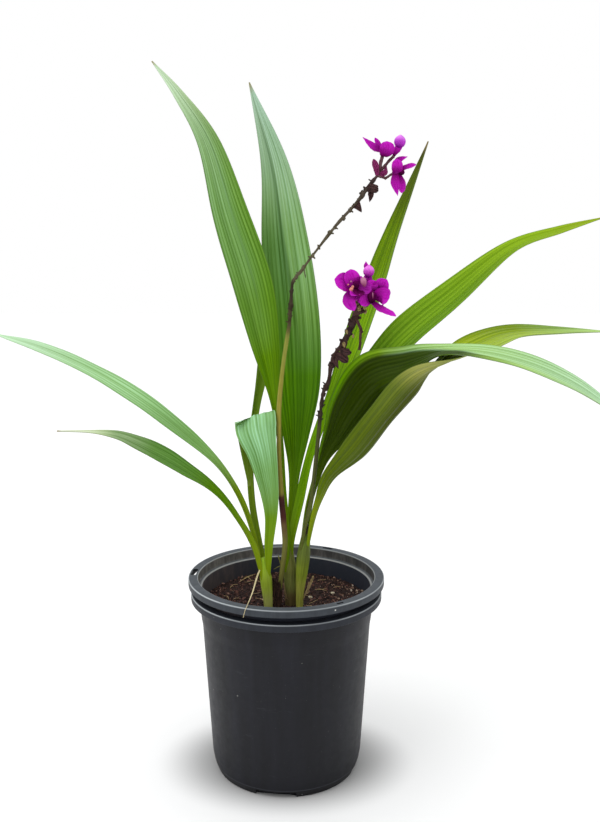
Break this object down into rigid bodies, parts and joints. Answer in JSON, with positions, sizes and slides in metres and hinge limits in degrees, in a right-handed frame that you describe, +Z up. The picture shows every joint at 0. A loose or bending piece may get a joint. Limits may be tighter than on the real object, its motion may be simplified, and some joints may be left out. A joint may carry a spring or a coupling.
{
  "type": "potted ground orchid",
  "caption": "Ground orchid with long pleated leaves and magenta flower spikes, growing in a pair of nested round nursery pots.",
  "frame": {"origin": "middle of the box around the whole plant, at floor level under the pot's foot; the pot's own axis is at x = y = 0 within a few millimetres of it", "axes": "+Z up along the pot's axis, -Y toward the front that the leaves and flowers face, +X to the viewer's right"},
  "size_m": [0.6596, 0.2565, 0.7196],
  "materials": {
    "pot_black": "moulded charcoal-black polypropylene, faint scuffs and dust",
    "pot_grey": "moulded black polypropylene weathered to bluish grey on the rim",
    "potting_mix": "loose reddish-brown coir and bark mix with a few pale granules",
    "stem": "smooth green false stems with streaks and tan dry sheaths",
    "husk": "brown fibrous husk of an old growth",
    "leaf_green": "satin pleated leaf, bright green",
    "leaf_pale": "satin pleated leaf, pale grey-green",
    "spike_green": "olive-green flower stalk turning dark brown to its tip",
    "spike_dark": "green flower stalk with a dark withered upper part",
    "petal": "thin magenta petal",
    "bud": "lilac bud over a dark magenta base",
    "straw": "dry yellowish strip of withered leaf"
  },
  "bodies": {
    "root": {"pot_outer": "pot_black", "pot_inner": "pot_grey", "potting_mix": "potting_mix", "stem_left": "stem", "stem_centre": "stem", "stem_right": "stem", "old_stump": "husk", "leaf_tall_left": "leaf_green", "leaf_tall_centre": "leaf_green", "leaf_tall_right": "leaf_green", "leaf_upper_right": "leaf_green", "leaf_arch_right": "leaf_green", "leaf_low_right": "leaf_green", "leaf_slender_back": "leaf_green", "leaf_long_left": "leaf_pale", "leaf_short_left": "leaf_pale", "leaf_bent_front": "leaf_pale", "spike_left": "spike_green", "spike_right": "spike_dark", "bloom_upper_left": "petal", "bloom_upper_right": "petal", "bloom_lower_left": "petal", "bloom_lower_right": "petal", "bud_upper": "bud", "bud_lower": "bud", "dry_straw": "straw"}
  },
  "joints": []
}
